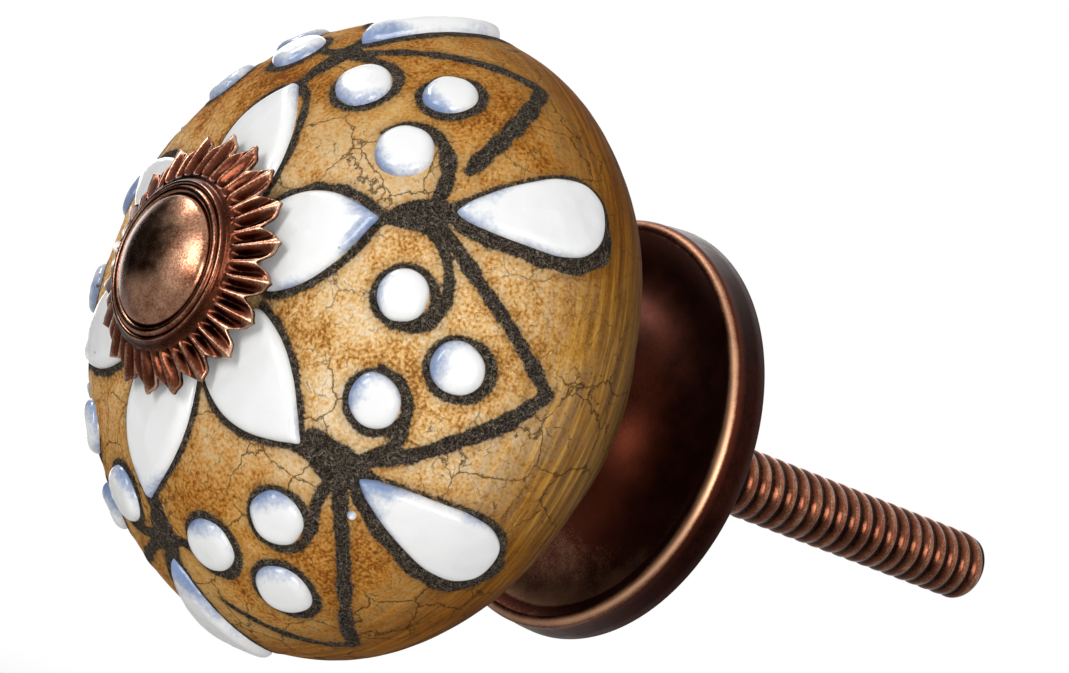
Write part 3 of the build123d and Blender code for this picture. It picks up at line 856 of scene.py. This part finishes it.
plain = np.concatenate([
    [0.1], np.full(plate["neckRows"], plate["neckWorn"]), np.linspace(*plate["flareWornAndShade"], plate["flareRows"]),
    np.linspace(*plate["dishWornAndLight"], plate["dishRows"]), np.linspace(*plate["rimWorn"], plate["rimRows"]),
    plate["skirtWorn"],
])
plain = np.append(plain, np.full(len(profile) - len(plain), plate["underWorn"]))
# painted highlight: the rim's crest is painted bright, most of all on one side, and so are the skirt's top and
# the dish in places
degrees = np.linspace(0, 360, plate["segments"], endpoint=False)
crestHighlight, skirtHighlight, dishHighlight = (
    np.interp(degrees, *zip(*plate[part])) for part in ("crestHighlight", "skirtHighlight", "dishHighlight"))
flareStart = 1 + plate["neckRows"]
rimStart = flareStart + plate["flareRows"] + plate["dishRows"]
rimEnd = rimStart + plate["rimRows"]
crest = np.zeros(len(profile))
crest[rimStart:rimEnd] = np.exp(
    -((np.linspace(plate["rimFrom"], 0, plate["rimRows"]) - plate["crestAt"]) / 40) ** 2)
wearAndPaintedLight = plain[:, None] + crest[:, None] * (crestHighlight[None, :] - plate["rimWorn"][1])
wearAndPaintedLight[rimEnd - 3:rimEnd + 3] += skirtHighlight
wearAndPaintedLight[flareStart:rimStart - 5] += dishHighlight
rings = turned(profile[:, 0], profile[:, 1], plate["segments"])
ringObject(
    "flaredBackPlate", [(rings, {"wearAndPaintedLight": wearAndPaintedLight})], copperMaterials["antiqueCopperPlate"],
    "back_plate", loop=True)


# Camera: the photograph's own viewing angle, a long lens a third of a metre away
view = {
    "place": (261.3, -225.5, -7.78),  # mm
    "right": (0.6086, 0.7164, 0.3411), "up": (-0.1921, -0.2841, 0.9394), "back": (0.7699, -0.6372, -0.0352),
    "lens": 168.4, "sensor": 36.0,
}
cameraData = bpy.data.cameras.new("productCamera")
camera = bpy.data.objects.new("productCamera", cameraData)
scene.collection.objects.link(camera)
right, up, back = (Vector(view[k]).normalized() for k in ("right", "up", "back"))
cameraTurn = Matrix((right, up, back)).transposed().to_4x4()
camera.matrix_world = Matrix.Translation(Vector(view["place"]) * mm) @ cameraTurn
cameraData.lens, cameraData.sensor_width, cameraData.sensor_fit = view["lens"], view["sensor"], "HORIZONTAL"
cameraData.clip_start, cameraData.clip_end = 0.01, 50.0
scene.camera = camera
print("camera ready")


# sets a lamp or flag off from the knob, by the camera's right, up and back, so that it faces the knob
def faceKnob(piece, toward, distance):
    toward = (right * toward[0] + up * toward[1] + back * toward[2]).normalized()
    piece.location = Vector((0, -18 * mm, 0)) + toward * distance
    piece.rotation_euler = toward.to_track_quat("Z", "Y").to_euler()
    piece.visible_camera = False
    scene.collection.objects.link(piece)


# a flat square for the floor or the flag
def flatSheet(name, half, material):
    mesh = bpy.data.meshes.new(name)
    corners = [(-half, -half, 0), (half, -half, 0), (half, half, 0), (-half, half, 0)]
    mesh.from_pydata(corners, [], [(0, 1, 2, 3)])
    mesh.materials.append(material)
    return bpy.data.objects.new(name, mesh)


# Studio light: a tall softbox up on the left, a broad one by the camera, one overhead, a small one on the
# right, and a wide dim one behind, which is there for the other sides
studio = {
    "keySoftbox": {"toward": (-0.55, 0.49, 0.68), "distance": 0.75, "size": (0.22, 0.4), "watts": 2.2},
    "frontSoftbox": {"toward": (0.30, -0.13, 0.945), "distance": 0.95, "size": (0.5, 0.5), "watts": 6.1},
    "overheadSoftbox": {"toward": (-0.40, 0.86, -0.20), "distance": 0.7, "size": (0.26, 0.16), "watts": 1.6},
    "sideSoftbox": {"toward": (0.90, 0.12, 0.30), "distance": 0.9, "size": (0.12, 0.4), "watts": 0.22},
    "rearSoftbox": {"toward": (-0.10, 0.30, -0.95), "distance": 1.0, "size": (0.9, 0.9), "watts": 3.0},
}
for name, lamp in studio.items():
    data = bpy.data.lights.new(name, "AREA")
    data.shape, (data.size, data.size_y), data.energy = "RECTANGLE", lamp["size"], lamp["watts"]
    faceKnob(bpy.data.objects.new(name, data), lamp["toward"], lamp["distance"])

# white world for the camera, metal and glaze; a softer grey for what lights the surfaces
sky = {"color": "#FFFFFF", "level": (0.0, 1.0, 0.13, 1.0)}
scene.world = bpy.data.worlds.new("studioWhite")
scene.world.use_nodes = True
tree = scene.world.node_tree
tree.nodes.clear()
path = addNode(tree, "LightPath").outputs
seenA = addNode(tree, "Math", {0: path["Is Camera Ray"], 1: path["Is Glossy Ray"]}, operation="MAXIMUM")
seenB = addNode(tree, "Math", {0: seenA, 1: path["Is Transmission Ray"]}, operation="MAXIMUM")
level = addNode(tree, "MapRange", {"Value": seenB, span: sky["level"]})
shader = addNode(tree, "Background", {"Color": sky["color"], "Strength": level})
addNode(tree, "OutputWorld", {"Surface": shader})

# floor: matt white paper that takes the shadow and fades into the white world away from the knob
paper = {
    "color": "#F2F2F2", "bounce": "#E8E8E8", "glow": "#FFFFFF", "lift": 0.34,
    "height": -45.0,  # mm
    "half": 0.6, "fade": (0.09, 0.32, 0.0, 1.0),  # metres from the knob
}
material, tree = startMaterial("mattWhitePaper")
path = addNode(tree, "LightPath").outputs
seen = addNode(tree, "Math", {0: path["Is Camera Ray"], 1: path["Is Glossy Ray"]}, operation="MAXIMUM")
lift = addNode(tree, "Math", {0: path["Is Camera Ray"], 1: paper["lift"]}, operation="MULTIPLY")
paperColor = addNode(tree, "Mix", {0: seen, 6: paper["bounce"], 7: paper["color"]}, data_type="RGBA")
matt = addNode(tree, "BsdfDiffuse", {"Color": paperColor})
glow = addNode(tree, "Emission", {"Color": paper["glow"], "Strength": lift})
both = addNode(tree, "AddShader", {0: matt, 1: glow})
coords = addNode(tree, "TexCoord").outputs["Object"]
away = addNode(tree, "VectorMath", {0: coords}, operation="LENGTH")
fade = addNode(tree, "MapRange", {"Value": away, span: paper["fade"]}, interpolation_type="SMOOTHSTEP")
clear = addNode(tree, "BsdfTransparent")
faded = addNode(tree, "MixShader", {0: fade, 1: both, 2: clear})
addNode(tree, "OutputMaterial", {"Surface": faded})
floor = flatSheet("studioFloor", paper["half"], material)
floor.location = (0, 0, paper["height"] * mm)
scene.collection.objects.link(floor)

# a black flag to the left, out of the picture, which gives the copper its dark side
felt = {"color": "#0A0A0A", "toward": (-0.90, 0.20, -0.36), "distance": 0.6, "half": 0.46}
material, tree = startMaterial("blackFelt")
shader = addNode(tree, "BsdfDiffuse", {"Color": felt["color"]})
addNode(tree, "OutputMaterial", {"Surface": shader})
flag = flatSheet("blackFlag", felt["half"], material)
faceKnob(flag, felt["toward"], felt["distance"])
print("studio ready")
